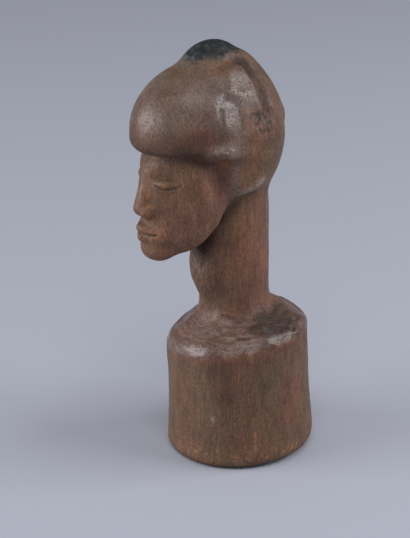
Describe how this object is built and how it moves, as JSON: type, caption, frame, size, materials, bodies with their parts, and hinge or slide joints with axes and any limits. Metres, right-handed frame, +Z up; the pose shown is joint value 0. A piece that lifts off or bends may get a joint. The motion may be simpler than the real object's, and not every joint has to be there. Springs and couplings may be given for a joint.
{
  "type": "small carved wooden bust",
  "caption": "Small hardwood bust: helmet-like hair with a dark crest knob, a calm carved face and a long round neck on a drum-shaped base with a faceted shoulder.",
  "frame": {"origin": "middle of the flat underside of the base, on the surface it stands on", "axes": "+Z up along the neck; the face looks along -Y; +X is the figure's own left side"},
  "size_m": [0.0419, 0.0544, 0.1218],
  "materials": {
    "wood": "handled brown hardwood, half glossy, with dark grime in the hollows, orange worn edges and a black-stained crest"
  },
  "bodies": {
    "root": {"carved_bust": "wood"}
  },
  "joints": []
}
